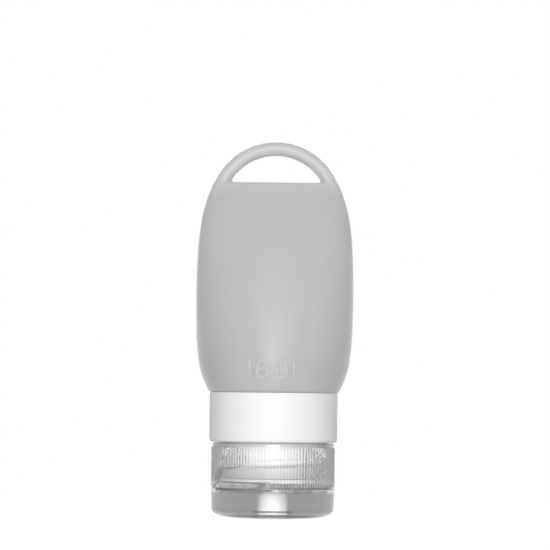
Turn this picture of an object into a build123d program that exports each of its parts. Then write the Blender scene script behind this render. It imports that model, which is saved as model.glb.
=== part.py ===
from build123d import *
import os
from math import acos, degrees, pi, radians, sin

os.makedirs("parts", exist_ok=True)

# A soft travel bottle for toiletries that stands upside down on its closed flip lid.
# Millimetres. +Z is up, z = 0 is the table under the lid, and the bottle's broad face looks along -Y.

# Stack of heights, from the table up
lid_height = 9.0
parting_gap = 0.15
base_height = 13.45
collar_gap = 0.3
collar_height = 15.0
body_height = 64.0
loop_rise = 12.5

# Clearances: between faces that seat, in snug fits, between moving pieces, and past every cut
seat_gap = 0.05
fit_gap = 0.05
running_gap = 0.3
cut_overrun = 1.0

base_bottom = lid_height + parting_gap
base_top = base_bottom + base_height
collar_bottom = base_top + collar_gap
collar_top = collar_bottom + collar_height
body_bottom = collar_top + seat_gap
ledge_level = body_bottom + body_height
crown_level = ledge_level + loop_rise

# Collar, the widest of the hard pieces
collar_radius = 19.45
collar_wall = 1.6
collar_lip = 1.2
collar_lip_reach = 1.0
collar_bottom_edge = 0.9
collar_top_edge = 0.2
collar_inner_radius = collar_radius - collar_wall

# Cap: the screw base and the flip lid share one outline, and their thumb side is turned left of the front
cap_inset = 0.65
cap_radius = collar_radius - cap_inset
cap_turn_angle = -33.0
cap_plane = Plane.XY.rotated((0, 0, cap_turn_angle))
cap_side = cap_plane.x_dir
cap_back = cap_plane.y_dir
thumb_plane = Plane(origin=(0, 0, 0), x_dir=cap_side, z_dir=-cap_back)

# Flip lid: a shallow cup that stands on a flat ring, with a long soft curve from the ring up to its side
lid_wall = 1.5
lid_face = 1.5
lid_taper = 0.2
lid_curve_reach = 6.6
lid_curve_height = 2.6
lid_inner_corner = 1.2
lid_foot_width = 3.0
lid_dish_depth = 0.4
lid_side_radius = cap_radius - lid_taper
lid_foot_radius = lid_side_radius - lid_curve_reach
lid_dish_edge = lid_foot_radius - lid_foot_width
lid_dish_radius = lid_dish_edge - lid_dish_depth
lid_inner_radius = cap_radius - lid_wall

# Thumb tab on the lid, and the scoop in the base that it sits in
tab_half_angle = 32.0
tab_rise = 2.2
tab_drop = 0.5
tab_thickness = 1.4
tab_proud = 0.5
tab_corner = 1.2
scoop_height = 6.1
scoop_corner = 3.7
tab_outer_radius = cap_radius + tab_proud
tab_inner_radius = tab_outer_radius - tab_thickness
tab_half_width = tab_outer_radius * sin(radians(tab_half_angle))
scoop_radius = tab_inner_radius - running_gap / 2
scoop_half_width = tab_half_width + running_gap

# Hinge at the back of the cap: stub pins on the lid's knuckle turn in two ears of the base
hinge_stand_off = 1.4
knuckle_radius = 1.15
knuckle_width = 4.0
ear_width = 2.2
stub_radius = 0.6
stub_length = 1.7
hinge_side_gap = 0.1
hinge_out = cap_radius + hinge_stand_off
hinge_level = lid_height + parting_gap / 2
ear_near = knuckle_width / 2 + hinge_side_gap
ear_far = ear_near + ear_width

# Cap base
base_wall = 1.7
deck_thickness = 1.5
land_wall = 1.2
land_depth = 1.3
base_edge = 0.4
rib_count = 120
rib_depth = 0.3
rib_width_share = 0.55
rib_margin_top = 1.2
rib_margin_bottom = 0.15
rib_bottom = base_bottom + rib_margin_bottom
rib_top = base_top - rib_margin_top
rib_width = rib_width_share * 2 * pi * cap_radius / rib_count
base_inner_radius = cap_radius - base_wall
base_outer_radius = cap_radius - rib_depth
ear_root_radius = base_outer_radius - base_wall / 2
deck_top = base_bottom + deck_thickness
land_radius = lid_inner_radius - running_gap

# Outlet: a soft spout with a cross slit in its tip, held by its flange under a ring
spout_radius = 4.6
spout_wall = 1.1
spout_drop = 7.3
spout_tip_round = 0.5
spout_tip_wall = 1.0
slit_length = 5.0
slit_width = 0.2
valve_flange_radius = 6.8
valve_flange = 1.2
retainer_bore_radius = 3.6
retainer_thickness = 1.4
socket_wall = 1.1
socket_gap = 0.1
socket_rim = 0.2
valve_hole_radius = spout_radius + fit_gap
socket_radius = valve_flange_radius + socket_gap
flange_seat = deck_top + seat_gap
retainer_seat = flange_seat + valve_flange + seat_gap
socket_top = retainer_seat + retainer_thickness + socket_rim
spout_tip = base_bottom - spout_drop

# Low seal cup on the inside of the lid, round the spout's tip
seal_cup_gap = 0.45
seal_cup_wall = 0.9
seal_cup_height = 0.8
seal_cup_radius = spout_radius + seal_cup_gap

# Screw neck, its washer and its thread
neck_wall = 1.9
gasket_thickness = 1.2
gasket_margin = 0.3
thread_pitch = 4.2
thread_root_width = 3.0
thread_crest_width = 1.0
thread_depth = 0.9
thread_clearance = 0.35
thread_crest_gap = 0.5
thread_bite = 0.2
thread_start = 1.6
neck_thread_turns = 1.5
base_thread_turns = 0.5
neck_radius = base_inner_radius - thread_crest_gap - thread_depth
neck_bore_radius = neck_radius - neck_wall
gasket_bottom = deck_top + seat_gap
neck_bottom = gasket_bottom + gasket_thickness + seat_gap
neck_thread_bottom = neck_bottom + thread_start
base_thread_bottom = neck_thread_bottom + thread_pitch / 2

# Insert above the thread: the flange that the collar's lip holds, and the barbed sleeve in the silicone
flange_thickness = 1.35
sleeve_wall = 1.4
sleeve_height = 11.0
barb_reach = 0.6
barb_height = 1.6
barb_pitch = 4.0
barb_first = 2.4
barb_count = 2
flange_radius = collar_inner_radius - 2 * fit_gap
flange_bottom = collar_bottom + collar_lip + seat_gap
flange_top = flange_bottom + flange_thickness
sleeve_radius = neck_bore_radius + sleeve_wall
sleeve_top = flange_top + sleeve_height

# Silicone body
body_width = 48.0
body_depth = 40.6
body_wall = 2.0
shoulder_overhang = 0.3
ledge_wall = 3.0
silicone_neck_radius = collar_inner_radius - fit_gap
silicone_bore_radius = sleeve_radius + fit_gap
silicone_neck_bottom = flange_top + seat_gap
shoulder_radius = collar_radius + shoulder_overhang
cavity_top = ledge_level - ledge_wall
half_width = body_width / 2
half_depth = body_depth / 2
# Each row: height above the collar, half width and half depth, as shares of the body's own sizes
section_shares = [
    (0.100, 0.932, 0.995),
    (0.224, 0.983, 0.961),
    (0.396, 1.000, 0.852),
    (0.584, 0.996, 0.690),
    (0.755, 0.969, 0.507),
    (0.880, 0.911, 0.360),
]
top_width_share = 0.796
top_depth_share = 0.217
top_half_width = top_width_share * half_width
top_half_depth = top_depth_share * half_depth
# The ledge's edge is rounded as a share of how tightly the oval top turns at its two ends
ledge_round_share = 1.35
ledge_round = ledge_round_share * top_half_depth**2 / top_half_width
# The body's own half width and half depth at the chamber's top, before the wall comes off them
cavity_top_width_share = 0.848
cavity_top_depth_share = 0.271
cavity_top_half_width = cavity_top_width_share * half_width - body_wall
cavity_top_half_depth = cavity_top_depth_share * half_depth - body_wall

# Hanging loop: the body's outline goes on as a flat bow, and the window under it is part of a circle
loop_width = 4.24
loop_depth = 5.2
loop_round = 2.0
crown_half_angle = 60.0
side_angle = 18.0
window_sink = 1.5
# Radii of the bow's crown and of its sides, as shares of the body's half width
crown_share = 0.848
side_share = 1.458
crown_radius = crown_share * half_width
side_radius = side_share * half_width
window_radius = crown_radius - loop_width
crown_centre = Vector(0, crown_level - crown_radius)
crown_start_angle = 90 - crown_half_angle
side_offset = crown_radius - side_radius
side_centre = crown_centre + Vector(side_offset, 0).rotate(Axis.Z, crown_start_angle)
window_floor = ledge_level - window_sink
window_half_angle = degrees(acos((window_floor - crown_centre.Y) / window_radius))


def thumb_patch(half_width, bottom, top, inner, outer, corner):
    """Curved slab on the cap's thumb side, between two radii, with round upper corners."""
    with BuildPart() as patch:
        with BuildSketch(thumb_plane) as outline:
            with Locations((0, bottom)):
                Rectangle(2 * half_width, top - bottom, align=(Align.CENTER, Align.MIN))
            fillet(outline.vertices().group_by(Axis.Y)[-1], corner)
        extrude(amount=outer)
        with BuildSketch(Plane.XY.offset(bottom)):
            Circle(outer)
            Circle(inner, mode=Mode.SUBTRACT)
        extrude(amount=top - bottom, mode=Mode.INTERSECT)
    return patch.part


def screw_thread(root_radius, crest_radius, bottom, turns):
    """Right-hand thread: a trapezium carried round a helix, its root sunk into the wall it stands on."""
    reach = crest_radius - root_radius
    bite = -thread_bite if reach > 0 else thread_bite
    with BuildPart() as thread:
        with BuildLine():
            path = Helix(thread_pitch, thread_pitch * turns, root_radius, center=(0, 0, bottom))
        with BuildSketch(Plane(origin=path @ 0, x_dir=(1, 0, 0), z_dir=path % 0)):
            with BuildLine():
                Polyline(
                    (bite, thread_root_width / 2),
                    (reach, thread_crest_width / 2),
                    (reach, -thread_crest_width / 2),
                    (bite, -thread_root_width / 2),
                    close=True,
                )
            make_face()
        sweep(path=path, is_frenet=True)
    return thread.part


def hinge_barrel(low, high, radius):
    """Round bar along the hinge axis, between two places along it."""
    centre = cap_plane.from_local_coords((low, hinge_out, hinge_level))
    with BuildPart() as barrel:
        with BuildSketch(Plane(origin=centre, x_dir=cap_back, z_dir=cap_side)):
            Circle(radius)
        extrude(amount=high - low)
    return barrel.part


def hinge_web(low, high, bottom, top, root_radius):
    """Block from the cap's wall out to the hinge axis, between two places along it."""
    reach = hinge_out - root_radius
    centre = cap_plane.from_local_coords(((low + high) / 2, root_radius + reach / 2, bottom))
    with BuildPart() as web:
        with BuildSketch(Plane(origin=centre, x_dir=cap_side, z_dir=(0, 0, 1))):
            Rectangle(high - low, reach)
        extrude(amount=top - bottom)
    return web.part


def barbs(gap):
    """Saw-tooth rings of the sleeve, or with a gap the grooves that they press into the silicone."""
    with BuildPart() as rings:
        for index in range(barb_count):
            foot = flange_top + barb_first + index * barb_pitch
            with BuildSketch(Plane.XZ):
                with BuildLine():
                    Polyline(
                        (sleeve_radius - sleeve_wall / 2, foot - gap),
                        (sleeve_radius + barb_reach + gap, foot - gap),
                        (sleeve_radius + gap, foot + barb_height + gap),
                        (sleeve_radius - sleeve_wall / 2, foot + barb_height + gap),
                        close=True,
                    )
                make_face()
        revolve(axis=Axis.Z)
    return rings.part


# Flip lid: the cup, the tab, the seal cup round the spout's tip, and the knuckle with its two stub pins
tab = thumb_patch(tab_half_width, lid_height - tab_drop, lid_height + tab_rise, tab_inner_radius,
                  tab_outer_radius, tab_corner)
lid_knuckle = hinge_barrel(-knuckle_width / 2, knuckle_width / 2, knuckle_radius)
lid_stubs = hinge_barrel(-ear_near - stub_length, ear_near + stub_length, stub_radius)
lid_web = hinge_web(-knuckle_width / 2, knuckle_width / 2, hinge_level - knuckle_radius, hinge_level,
                    cap_radius - lid_wall / 2)
with BuildPart() as flip_lid:
    with BuildSketch(Plane.XZ):
        with BuildLine():
            EllipticalCenterArc((lid_foot_radius, lid_curve_height), lid_curve_reach, lid_curve_height,
                                start_angle=-90, arc_size=90)
            Polyline(
                (lid_foot_radius, 0),
                (lid_dish_edge, 0),
                (lid_dish_radius, lid_dish_depth),
                (0, lid_dish_depth),
                (0, lid_face),
                (lid_inner_radius, lid_face),
                (lid_inner_radius, lid_height),
                (cap_radius, lid_height),
                (lid_side_radius, lid_curve_height),
            )
        cup = make_face()
        fillet(cup.vertices().sort_by_distance((lid_inner_radius, lid_face))[0], lid_inner_corner)
    revolve(axis=Axis.Z)
    with BuildSketch(Plane.XY.offset(lid_face)):
        Circle(seal_cup_radius + seal_cup_wall)
        Circle(seal_cup_radius, mode=Mode.SUBTRACT)
    extrude(amount=seal_cup_height)
    add([tab, lid_knuckle, lid_stubs, lid_web])
flip_lid.part.label = "flip_lid"
export_step(flip_lid.part, "parts/flip_lid.step")

# Cap base: a grooved tube on a deck, with a land that centres the lid, a scoop and two hinge ears
scoop = thumb_patch(scoop_half_width, base_bottom - cut_overrun, base_bottom + scoop_height, scoop_radius,
                    cap_radius + cut_overrun, scoop_corner)
base_thread = screw_thread(base_inner_radius, neck_radius + thread_clearance, base_thread_bottom,
                           base_thread_turns)
stub_hole = hinge_barrel(-ear_far - cut_overrun, ear_far + cut_overrun, stub_radius + fit_gap)
with BuildPart() as cap_base:
    with BuildSketch(Plane.XZ):
        with BuildLine():
            Polyline(
                (valve_hole_radius, base_bottom),
                (land_radius - land_wall, base_bottom),
                (land_radius - land_wall, base_bottom - land_depth),
                (land_radius, base_bottom - land_depth),
                (land_radius, base_bottom),
                (base_outer_radius, base_bottom),
                (base_outer_radius, base_top - base_edge),
                (base_outer_radius - base_edge, base_top),
                (base_inner_radius, base_top),
                (base_inner_radius, deck_top),
                (socket_radius + socket_wall, deck_top),
                (socket_radius + socket_wall, socket_top),
                (socket_radius, socket_top),
                (socket_radius, deck_top),
                (valve_hole_radius, deck_top),
                close=True,
            )
        make_face()
    revolve(axis=Axis.Z)
    with BuildSketch(Plane.XY.offset(rib_bottom)):
        with PolarLocations(base_outer_radius, rib_count):
            Rectangle(2 * rib_depth, rib_width)
        Circle(base_outer_radius - rib_depth / 2, mode=Mode.SUBTRACT)
    extrude(amount=rib_top - rib_bottom)
    add(scoop, mode=Mode.SUBTRACT)
    add(base_thread)
    for low, high in ((-ear_far, -ear_near), (ear_near, ear_far)):
        add(hinge_barrel(low, high, knuckle_radius))
        add(hinge_web(low, high, hinge_level, hinge_level + knuckle_radius, ear_root_radius))
    add(stub_hole, mode=Mode.SUBTRACT)
cap_base.part.label = "cap_base"
export_step(cap_base.part, "parts/cap_base.step")

# Soft spout: a flange in the deck's socket, a tube through the deck and a slit tip
with BuildPart() as slit_valve:
    with BuildSketch(Plane.XZ):
        with BuildLine():
            Polyline(
                (0, spout_tip),
                (spout_radius, spout_tip),
                (spout_radius, flange_seat),
                (valve_flange_radius, flange_seat),
                (valve_flange_radius, flange_seat + valve_flange),
                (spout_radius - spout_wall, flange_seat + valve_flange),
                (spout_radius - spout_wall, spout_tip + spout_tip_wall),
                (0, spout_tip + spout_tip_wall),
                close=True,
            )
        spout = make_face()
        fillet(spout.vertices().sort_by_distance((spout_radius, spout_tip))[0], spout_tip_round)
    revolve(axis=Axis.Z)
    with BuildSketch(Plane.XY.offset(spout_tip - cut_overrun)):
        Rectangle(slit_length, slit_width)
        Rectangle(slit_width, slit_length)
    extrude(amount=spout_tip_wall + 2 * cut_overrun, mode=Mode.SUBTRACT)
slit_valve.part.label = "slit_valve"
export_step(slit_valve.part, "parts/slit_valve.step")

# Ring that holds the spout's flange down in its socket
with BuildPart() as valve_retainer:
    with BuildSketch(Plane.XY.offset(retainer_seat)):
        Circle(socket_radius - fit_gap)
        Circle(retainer_bore_radius, mode=Mode.SUBTRACT)
    extrude(amount=retainer_thickness)
valve_retainer.part.label = "valve_retainer"
export_step(valve_retainer.part, "parts/valve_retainer.step")

# Washer that the end of the neck presses on the deck
with BuildPart() as neck_gasket:
    with BuildSketch(Plane.XY.offset(gasket_bottom)):
        Circle(base_inner_radius - gasket_margin)
        Circle(neck_bore_radius - gasket_margin, mode=Mode.SUBTRACT)
    extrude(amount=gasket_thickness)
neck_gasket.part.label = "neck_gasket"
export_step(neck_gasket.part, "parts/neck_gasket.step")

# Stiff neck insert: the screw neck, the flange on the collar's lip and the barbed sleeve
neck_thread = screw_thread(neck_radius, neck_radius + thread_depth, neck_thread_bottom, neck_thread_turns)
with BuildPart() as neck_insert:
    with BuildSketch(Plane.XZ):
        with BuildLine():
            Polyline(
                (neck_bore_radius, neck_bottom),
                (neck_radius, neck_bottom),
                (neck_radius, flange_bottom),
                (flange_radius, flange_bottom),
                (flange_radius, flange_top),
                (sleeve_radius, flange_top),
                (sleeve_radius, sleeve_top),
                (neck_bore_radius, sleeve_top),
                close=True,
            )
        make_face()
    revolve(axis=Axis.Z)
    add(barbs(0))
    add(neck_thread)
neck_insert.part.label = "neck_insert"
export_step(neck_insert.part, "parts/neck_insert.step")

# Collar that squeezes the silicone neck on the sleeve and holds the insert's flange on its lip
with BuildPart() as collar_ring:
    with BuildSketch(Plane.XZ):
        with BuildLine():
            Polyline(
                (collar_inner_radius - collar_lip_reach, collar_bottom),
                (collar_radius - collar_bottom_edge, collar_bottom),
                (collar_radius, collar_bottom + collar_bottom_edge),
                (collar_radius, collar_top - collar_top_edge),
                (collar_radius - collar_top_edge, collar_top),
                (collar_inner_radius, collar_top),
                (collar_inner_radius, collar_bottom + collar_lip),
                (collar_inner_radius - collar_lip_reach, collar_bottom + collar_lip),
                close=True,
            )
        make_face()
    revolve(axis=Axis.Z)
collar_ring.part.label = "collar_ring"
export_step(collar_ring.part, "parts/collar_ring.step")

# Bow of the hanging loop, with its roots inside the body's top
with BuildPart() as loop_bow:
    with BuildSketch(Plane.XZ.offset(-loop_depth / 2)):
        with BuildLine():
            CenterArc(crown_centre, crown_radius, crown_start_angle, 2 * crown_half_angle)
            right = CenterArc(side_centre, side_radius, crown_start_angle - side_angle, side_angle)
            left = mirror(right, about=Plane.YZ)
            Line(right @ 0, left @ 0)
        make_face()
        with BuildLine():
            arch = CenterArc(crown_centre, window_radius, 90 - window_half_angle, 2 * window_half_angle)
            Line(arch @ 0, arch @ 1)
        make_face(mode=Mode.SUBTRACT)
    extrude(amount=loop_depth)
    rims = loop_bow.edges().filter_by(Plane.XZ).sort_by(Axis.Z)
    fillet(rims[2:], loop_round)

# Silicone body: an oval skin that flattens upwards, the bow, the chamber, and the neck over the sleeve
with BuildPart() as silicone_body:
    with BuildSketch(Plane.XY.offset(body_bottom)):
        Circle(shoulder_radius)
    for rise_share, width_share, depth_share in section_shares:
        with BuildSketch(Plane.XY.offset(body_bottom + rise_share * body_height)):
            Ellipse(width_share * half_width, depth_share * half_depth)
    with BuildSketch(Plane.XY.offset(ledge_level)):
        Ellipse(top_half_width, top_half_depth)
    loft()
    fillet(silicone_body.edges().sort_by(Axis.Z)[-1], ledge_round)
    add(loop_bow.part)
    with BuildSketch(Plane.XY.offset(body_bottom)):
        Circle(silicone_bore_radius)
    for rise_share, width_share, depth_share in section_shares:
        with BuildSketch(Plane.XY.offset(body_bottom + rise_share * body_height)):
            Ellipse(width_share * half_width - body_wall, depth_share * half_depth - body_wall)
    with BuildSketch(Plane.XY.offset(cavity_top)):
        Ellipse(cavity_top_half_width, cavity_top_half_depth)
    loft(mode=Mode.SUBTRACT)
    with BuildSketch(Plane.XY.offset(silicone_neck_bottom)):
        Circle(silicone_neck_radius)
        Circle(silicone_bore_radius, mode=Mode.SUBTRACT)
    extrude(amount=body_bottom - silicone_neck_bottom)
    add(barbs(fit_gap), mode=Mode.SUBTRACT)
silicone_body.part.label = "silicone_body"
export_step(silicone_body.part, "parts/silicone_body.step")

for piece in (flip_lid, cap_base, slit_valve, valve_retainer):
    print(piece.part.label, round(piece.part.volume), "mm3")
for piece in (neck_gasket, neck_insert, collar_ring, silicone_body):
    print(piece.part.label, round(piece.part.volume), "mm3")
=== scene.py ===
"""Looks of a soft travel bottle that stands on its clear flip cap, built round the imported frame.

The frame's own axes hold everywhere: +Z up, the broad face towards -Y, z = 0 at the standing face.
Sizes are written in millimetres times MM, so every value that reaches Blender is in metres.
"""

import logging
import math
from collections.abc import Callable, Sequence
from dataclasses import dataclass
from enum import Enum
from typing import Any

import bpy
import numpy as np
from mathutils import Matrix, Vector


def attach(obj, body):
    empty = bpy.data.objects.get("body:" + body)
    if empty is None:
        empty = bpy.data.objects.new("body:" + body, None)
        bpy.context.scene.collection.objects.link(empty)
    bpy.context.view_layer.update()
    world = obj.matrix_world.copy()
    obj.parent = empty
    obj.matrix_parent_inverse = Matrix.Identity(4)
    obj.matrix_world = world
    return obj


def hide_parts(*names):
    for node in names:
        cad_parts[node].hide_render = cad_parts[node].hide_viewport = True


MM = 0.001
FULL_TURN = 2 * math.pi
TINY = 1e-9
ARC_STEP = 18.0
LOG = logging.getLogger("travel_bottle")

Array = np.ndarray
Grids = tuple[Array, Array]
Piece = bpy.types.Object
Tree = bpy.types.NodeTree
Socket = bpy.types.NodeSocket
Corner = tuple[float, ...]

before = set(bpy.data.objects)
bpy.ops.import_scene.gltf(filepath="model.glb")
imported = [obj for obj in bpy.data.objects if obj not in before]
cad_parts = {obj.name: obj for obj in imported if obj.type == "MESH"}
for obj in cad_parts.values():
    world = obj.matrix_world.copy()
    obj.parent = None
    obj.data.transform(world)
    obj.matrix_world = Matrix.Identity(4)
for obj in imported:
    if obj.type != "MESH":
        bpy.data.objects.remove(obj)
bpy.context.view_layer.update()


class Body(Enum):
    """The bodies of the frame that a piece can ride on."""

    BOTTLE = "bottle"
    SEAL = "seal"
    CAP = "cap"
    LID = "lid"


class Node(Enum):
    """The frame's nodes, one for each real piece."""

    SILICONE_BODY = "silicone_body"
    COLLAR_RING = "collar_ring"
    NECK_INSERT = "neck_insert"
    NECK_GASKET = "neck_gasket"
    CAP_BASE = "cap_base"
    SLIT_VALVE = "slit_valve"
    VALVE_RETAINER = "valve_retainer"
    FLIP_LID = "flip_lid"


class Slot(Enum):
    """Material slots of the record."""

    SILICONE = "silicone"
    COLLAR = "collar"
    INSERT = "insert"
    CLEAR_CAP = "clear_cap"
    WASHER = "washer"
    VALVE = "valve"


# Shapes as arrays of points


@dataclass(frozen=True)
class Shell:
    """One closed surface: its points, and faces of four corners, of which two may be the same point."""

    points: Array
    faces: Array


def smooth_step(value: Array) -> Array:
    """Goes from 0 to 1 as the value does, level at both ends: three squares less two cubes."""
    held = np.clip(value, 0.0, 1.0)
    return held * held * (3.0 - 2.0 * held)


def unit(vectors: Array) -> Array:
    """Rows of vectors brought to length 1."""
    return vectors / np.linalg.norm(vectors, axis=-1, keepdims=True)


def around(count: int, start: float = 0.0) -> Array:
    """Equal directions round a full turn."""
    return start + np.arange(count) * 2 * math.pi / count


def circle(count: int) -> Array:
    """Points of a circle of radius 1, two coordinates each."""
    turn = around(count)
    return np.column_stack((np.cos(turn), np.sin(turn)))


def grid_shell(points: Array, closed_rows: bool) -> Shell:
    """Joins a grid of points into a closed surface.

    Each row is a ring of points. Point j of row i is joined to point j + 1 of the row and to point j of
    row i + 1. A row whose points all lie at one place becomes a single point, the pole of the surface.

    Args:
        points: Rows of rings, with three coordinates in the last axis.
        closed_rows: True if the last row joins the first one, as on a ring with a hole.

    Returns:
        The surface, with its faces turned outwards.
    """
    rows, columns = points.shape[:2]
    number = np.arange(rows * columns).reshape(rows, columns)
    pole = np.ptp(points, axis=1).max(axis=1) < TINY
    number[pole] = number[pole, :1]
    low = number if closed_rows else number[:-1]
    high = np.roll(number, -1, axis=0) if closed_rows else number[1:]
    faces = np.stack((low, np.roll(low, -1, axis=1), np.roll(high, -1, axis=1), high), axis=-1)
    used, packed = np.unique(faces.reshape(-1, 4), return_inverse=True)
    shell = Shell(points.reshape(-1, 3)[used], packed.reshape(-1, 4))
    a, b, c, d = (shell.points[shell.faces[:, corner]] for corner in range(4))
    volume = np.einsum("ij,ij->", a, np.cross(b, c)) + np.einsum("ij,ij->", a, np.cross(c, d))
    return shell if volume > 0 else Shell(shell.points, shell.faces[:, ::-1])


def capped(rings: Array) -> Shell:
    """Joins rings into a closed bar, whose two ends are each drawn together to a point."""
    ends = [np.repeat(rings[row].mean(axis=0)[None, None], rings.shape[1], axis=1) for row in (0, -1)]
    return grid_shell(np.concatenate((ends[0], rings, ends[1])), closed_rows=False)


def carried(path: Array, across: Array, out: Array, section: Array) -> Array:
    """Rings of a section whose two coordinates are set off along two side directions of a path."""
    return path[:, None] + section[..., :1] * across[:, None] + section[..., 1:] * out[:, None]


def rounded_line(
    corners: Sequence[Corner], spacing: float, edge: float = 0.0, closed: bool = False
) -> Array:
    """A flat line through corners, each rounded with an arc that touches both of its sides.

    The arc starts and ends at radius times the tangent of half the turn from the corner. Straight runs
    are cut into steps no longer than the spacing, and arcs into steps of about ARC_STEP degrees.

    Args:
        corners: Radius from the axis and height of each corner, then its rounding if it has its own.
        spacing: Longest step along a straight run.
        edge: Rounding of the other corners. The two ends of an open line have none.
        closed: True if the last corner joins the first.

    Returns:
        The points of the line, two coordinates each.
    """
    spots = np.array([corner[:2] for corner in corners])
    line: list[Array] = []
    for index, (_, _, radius, *_) in enumerate((*corner, edge) for corner in corners):
        here = spots[index]
        inner = closed or 0 < index < len(corners) - 1
        if not inner or radius == 0.0:
            line.append(here[None])
            continue
        back = spots[index - 1] - here
        ahead = spots[(index + 1) % len(spots)] - here
        back, ahead = back / np.linalg.norm(back), ahead / np.linalg.norm(ahead)
        half = math.acos(float(np.clip(back @ ahead, -1.0, 1.0))) / 2
        middle = back + ahead
        centre = here + middle / np.linalg.norm(middle) * radius / math.sin(half)
        start, end = here + back * radius / math.tan(half), here + ahead * radius / math.tan(half)
        steps = max(3, math.ceil(math.degrees(math.pi - 2 * half) / ARC_STEP) + 1)
        first = math.atan2(*(start - centre)[::-1])
        turn = math.atan2(*(end - centre)[::-1]) - first
        turn = (turn + math.pi) % FULL_TURN - math.pi
        angles = first + turn * np.linspace(0.0, 1.0, steps)
        line.append(centre + radius * np.stack((np.cos(angles), np.sin(angles)), axis=-1))
    joined = np.concatenate(line + ([line[0][:1]] if closed else []))
    lengths = np.linalg.norm(np.diff(joined, axis=0), axis=1)
    runs = []
    for start, end, length in zip(joined[:-1], joined[1:], lengths):
        if length > TINY:
            shares = np.linspace(0.0, 1.0, max(1, math.ceil(length / spacing)), endpoint=False)
            runs.append(start + (end - start) * shares[:, None])
    return np.concatenate(runs + ([] if closed else [joined[-1:]]))


def turned(line: Array, angles: Array, change: Callable | None = None) -> Array:
    """Carries a flat line round the Z axis.

    A point of the result stands at the line's radius in the direction of the angle, at the line's height.

    Args:
        line: Radius and height of each row.
        angles: The directions of the columns.
        change: Gives new radii and heights from the grids of radius, height and angle.

    Returns:
        A grid of points, one row for each point of the line.
    """
    radius, angle = np.meshgrid(line[:, 0], angles, indexing="ij")
    height = np.repeat(line[:, 1:2], len(angles), axis=1)
    if change is not None:
        radius, height = change(radius, height, angle)
    return np.stack((radius * np.cos(angle), radius * np.sin(angle), height), axis=-1)


def smooth_through(rows: Array, heights: Array) -> Array:
    """Smooth curves through rows of values, one curve for each column after the first.

    Between two rows it is the cubic that has the rows' values and, at each row, the slope of the parabola
    through that row and its two neighbours.

    Args:
        rows: Height in the first column, then the values.
        heights: Where the curves are read.

    Returns:
        The curves' values, one row for each height.
    """
    at, values = rows[:, 0], rows[:, 1:]
    slopes = np.gradient(values, at, axis=0, edge_order=2)
    low = np.clip(np.searchsorted(at, heights, side="right") - 1, 0, len(at) - 2)
    span = (at[low + 1] - at[low])[:, None]
    share = ((heights - at[low])[:, None]) / span
    swing = smooth_step(share)
    level = values[low] * (1 - swing) + values[low + 1] * swing
    lean = slopes[low] * (share * (1 - share) ** 2) - slopes[low + 1] * (share**2 * (1 - share))
    return level + lean * span


# Blender objects


def make_object(name: str, shells: Sequence[Shell]) -> Piece:
    """Puts closed surfaces into one new, smooth shaded mesh object at the origin, linked to the scene."""
    starts = np.cumsum([0] + [len(shell.points) for shell in shells])
    points = np.concatenate([shell.points for shell in shells])
    faces = np.concatenate([shell.faces + start for shell, start in zip(shells, starts)])
    mesh = bpy.data.meshes.new(name)
    mesh.from_pydata(points.tolist(), [], [list(dict.fromkeys(face)) for face in faces.tolist()])
    mesh.validate()
    mesh.shade_smooth()
    piece = bpy.data.objects.new(name, mesh)
    bpy.context.scene.collection.objects.link(piece)
    return piece


def turned_piece(
    name: str, line: Array, count: int, closed: bool, change: Callable | None = None
) -> Piece:
    """Makes a piece of a flat line, open or closed, that is turned round the Z axis in equal steps."""
    return make_object(name, [grid_shell(turned(line, around(count), change), closed)])


def flat_ring(name: str, radii: Sequence[float], levels: Sequence[float], edge: float, count: int) -> Piece:
    """A ring of rectangular section, from its two radii and levels, with slightly rounded edges."""
    (inner, outer), (bottom, top) = radii, levels
    corners = [(inner, bottom), (outer, bottom), (outer, top), (inner, top)]
    return turned_piece(name, rounded_line(corners, 1.0 * MM, edge, closed=True), count, closed=True)


def with_modifier(piece: Piece, kind: str, **settings: Any) -> Piece:
    """Runs one modifier with its settings on a piece and keeps its result as the piece's mesh."""
    modifier = piece.modifiers.new(kind.lower(), kind)
    for key, value in settings.items():
        setattr(modifier, key, value)
    graph = bpy.context.evaluated_depsgraph_get()
    made = bpy.data.meshes.new_from_object(piece.evaluated_get(graph))
    old, made.name = piece.data, piece.name
    piece.modifiers.remove(modifier)
    piece.data = made
    bpy.data.meshes.remove(old)
    made.shade_smooth()
    return piece


def combined(piece: Piece, shells: Sequence[Shell], operation: str) -> Piece:
    """Joins closed surfaces to a piece (UNION), or cuts them out of it (DIFFERENCE), one after the other."""
    for shell in shells:
        other = make_object("tool", [shell])
        with_modifier(piece, "BOOLEAN", operation=operation, solver="MANIFOLD", object=other)
        mesh = other.data
        bpy.data.objects.remove(other)
        bpy.data.meshes.remove(mesh)
    return piece


def crease(piece: Piece, degrees: float) -> None:
    """Keeps edges sharper than an angle as hard lines in the shading."""
    piece.data.set_sharp_from_angle(angle=math.radians(degrees))


def read(things: Any, what: str) -> Array:
    """What each of a mesh's faces or points has under a name, three numbers each."""
    values = np.empty((len(things), 3), np.float32)
    things.foreach_get(what, values.ravel())
    return values


def mark(piece: Piece, name: str, domain: str, values: Array) -> None:
    """Keeps one number for each FACE or POINT of a piece, which its material reads by the name."""
    marks = piece.data.attributes.new(name, "FLOAT", domain)
    marks.data.foreach_set("value", values.astype(np.float32))


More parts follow.
